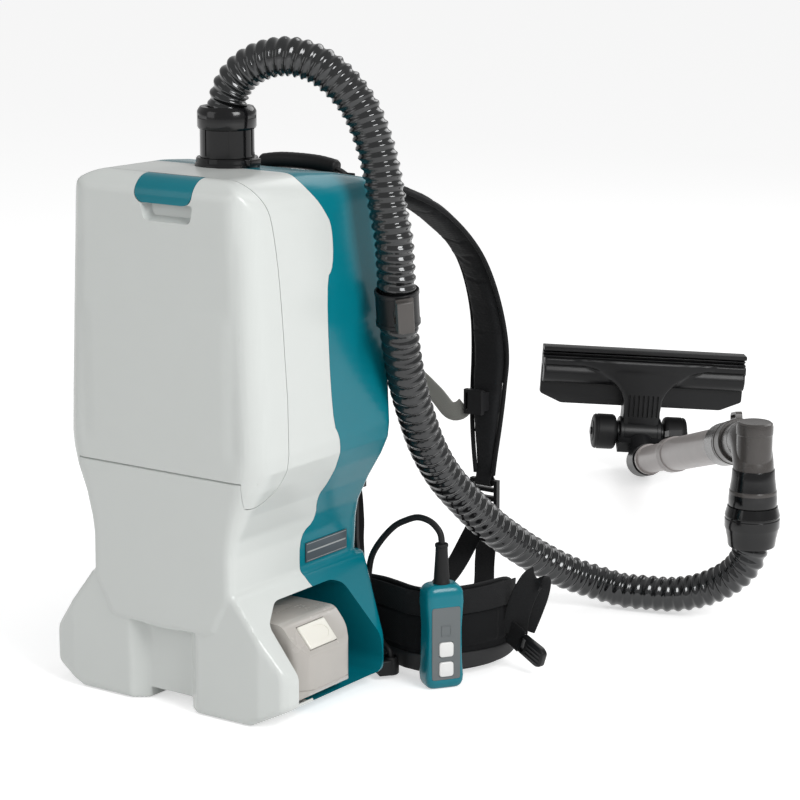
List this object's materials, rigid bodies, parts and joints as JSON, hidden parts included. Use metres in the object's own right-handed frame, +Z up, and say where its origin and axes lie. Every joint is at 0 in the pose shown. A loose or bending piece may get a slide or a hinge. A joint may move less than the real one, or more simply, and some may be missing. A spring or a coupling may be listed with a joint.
{
  "type": "backpack vacuum cleaner",
  "caption": "Cordless backpack vacuum cleaner with harness, ribbed hose, telescopic wand, floor nozzle and a belt handset.",
  "frame": {"origin": "centre of the shell's base, on the floor", "axes": "+Z up, -Y towards the lid, +Y towards the wearer, +X to the right when facing the lid"},
  "size_m": [0.6236, 1.1893, 0.6329],
  "materials": {
    "teal_plastic": "satin",
    "white_plastic": "satin",
    "black_plastic": "satin",
    "dark_plastic": "satin",
    "hose_plastic": "gloss",
    "fabric": "matte",
    "grey_webbing": "matte",
    "steel": "satin",
    "pipe_grey": "satin",
    "bent_brown": "gloss",
    "battery_grey": "satin",
    "pale_plastic": "satin",
    "panel_grey": "satin",
    "paper": "matte",
    "rubber": "matte",
    "board": "satin",
    "bristle": "matte"
  },
  "bodies": {
    "root": {"rear_housing": "teal_plastic", "front_housing": "white_plastic", "lid_gasket": "rubber", "hinge_pins": "steel", "inlet_socket": "black_plastic", "bag_collar": "pale_plastic", "dust_bag": "paper", "prefilter": "dark_plastic", "hepa_filter": "paper", "motor_housing": "dark_plastic", "motor_mounts": "rubber", "control_board": "board", "battery_trays": "dark_plastic", "exhaust_grilles": "white_plastic", "housing_screws": "steel", "rating_plate": "panel_grey", "harness_plate": "black_plastic", "back_pad": "fabric", "carry_handle": "fabric", "shoulder_pad_right": "fabric", "shoulder_pad_left": "fabric", "ladder_buckles": "black_plastic", "strap_webbing": "fabric", "sternum_strap": "grey_webbing", "sternum_slider": "black_plastic", "hip_belt_right": "fabric", "hip_belt_left": "fabric", "lumbar_pad": "fabric", "belt_webbing": "fabric", "belt_buckle": "black_plastic", "belt_tongue": "black_plastic", "hose": "hose_plastic", "hose_band": "rubber", "hose_hook": "dark_plastic", "bent_pipe": "bent_brown", "outer_pipe": "pipe_grey", "handset_case": "teal_plastic", "handset_face": "panel_grey", "handset_cable": "rubber", "cable_fittings": "rubber"},
    "lid": {"lid": "white_plastic", "latch_pin": "steel"},
    "latch": {"latch": "teal_plastic"},
    "inlet_cuff": {"inlet_cuff": "black_plastic"},
    "fan": {"fan_impeller": "pale_plastic"},
    "battery_right": {"battery_right": "battery_grey"},
    "battery_left": {"battery_left": "battery_grey"},
    "battery_button_right": {"battery_button_right": "pale_plastic"},
    "battery_button_left": {"battery_button_left": "pale_plastic"},
    "wand_cuff": {"wand_cuff": "black_plastic"},
    "air_slide": {"air_slide": "bent_brown"},
    "inner_pipe": {"inner_pipe": "pipe_grey"},
    "pipe_lock": {"pipe_lock": "black_plastic"},
    "nozzle_neck": {"nozzle_neck": "black_plastic"},
    "nozzle_head": {"nozzle_head": "black_plastic", "nozzle_brushes": "bristle"},
    "roller_right": {"roller_right": "rubber"},
    "roller_left": {"roller_left": "rubber"},
    "power_button": {"power_button": "pale_plastic"},
    "mode_button": {"mode_button": "pale_plastic"}
  },
  "joints": [
    {"name": "lid_hinge", "type": "hinge", "parent": "root", "child": "lid", "pos_m": [0, -0.106, 0.226], "axis": [1, 0, 0], "range_deg": [0, 95]},
    {"name": "latch_hinge", "type": "hinge", "parent": "lid", "child": "latch", "pos_m": [0.006, -0.097, 0.505], "axis": [1, 0, 0], "range_deg": [-25, 0], "stiffness_Nm_per_rad": 0.08},
    {"name": "inlet_swivel", "type": "hinge", "parent": "root", "child": "inlet_cuff", "pos_m": [0, 0, 0.54], "axis": [0, 0, 1], "continuous": true},
    {"name": "fan_spin", "type": "hinge", "parent": "root", "child": "fan", "pos_m": [0, 0.008, 0.17], "axis": [0, 0, 1], "continuous": true},
    {"name": "battery_slide_right", "type": "slide", "parent": "root", "child": "battery_right", "axis": [1, 0, 0], "range_m": [0, 0.11]},
    {"name": "battery_press_right", "type": "slide", "parent": "battery_right", "child": "battery_button_right", "axis": [-0.7557, 0, -0.6549], "range_m": [0, 0.002], "stiffness_N_per_m": 400},
    {"name": "battery_slide_left", "type": "slide", "parent": "root", "child": "battery_left", "axis": [-1, 0, 0], "range_m": [0, 0.11]},
    {"name": "battery_press_left", "type": "slide", "parent": "battery_left", "child": "battery_button_left", "axis": [0.7557, 0, -0.6549], "range_m": [0, 0.002], "stiffness_N_per_m": 400},
    {"name": "cuff_swivel", "type": "hinge", "parent": "root", "child": "wand_cuff", "pos_m": [0.337, 0.45, 0.11], "axis": [0, 0, 1], "continuous": true},
    {"name": "air_slide_turn", "type": "hinge", "parent": "root", "child": "air_slide", "pos_m": [0.28443, 0.51265, 0.17842], "axis": [-0.6185, 0.7371, -0.2723], "range_deg": [-28, 28]},
    {"name": "pipe_slide", "type": "slide", "parent": "root", "child": "inner_pipe", "axis": [-0.6185, 0.7371, -0.2723], "range_m": [-0.13, 0]},
    {"name": "lock_slide", "type": "slide", "parent": "root", "child": "pipe_lock", "axis": [-0.6185, 0.7371, -0.2723], "range_m": [0, 0.006], "stiffness_N_per_m": 300},
    {"name": "neck_swivel", "type": "hinge", "parent": "inner_pipe", "child": "nozzle_neck", "pos_m": [-0.0743, 0.94017, 0.0205], "axis": [-0.6185, 0.7371, -0.2723], "range_deg": [-90, 90]},
    {"name": "head_tilt", "type": "hinge", "parent": "nozzle_neck", "child": "nozzle_head", "pos_m": [-0.10056, 0.97558, 0.04745], "axis": [-0.7764, -0.6267, 0.0671], "range_deg": [-35, 35]},
    {"name": "roller_spin_right", "type": "hinge", "parent": "nozzle_neck", "child": "roller_right", "pos_m": [-0.10056, 0.97558, 0.04745], "axis": [-0.7764, -0.6267, 0.0671], "continuous": true},
    {"name": "roller_spin_left", "type": "hinge", "parent": "nozzle_neck", "child": "roller_left", "pos_m": [-0.10056, 0.97558, 0.04745], "axis": [-0.7764, -0.6267, 0.0671], "continuous": true},
    {"name": "power_press", "type": "slide", "parent": "root", "child": "power_button", "axis": [-0.8192, 0.5736, 0], "range_m": [0, 0.001], "stiffness_N_per_m": 400},
    {"name": "mode_press", "type": "slide", "parent": "root", "child": "mode_button", "axis": [-0.8192, 0.5736, 0], "range_m": [0, 0.001], "stiffness_N_per_m": 400}
  ]
}
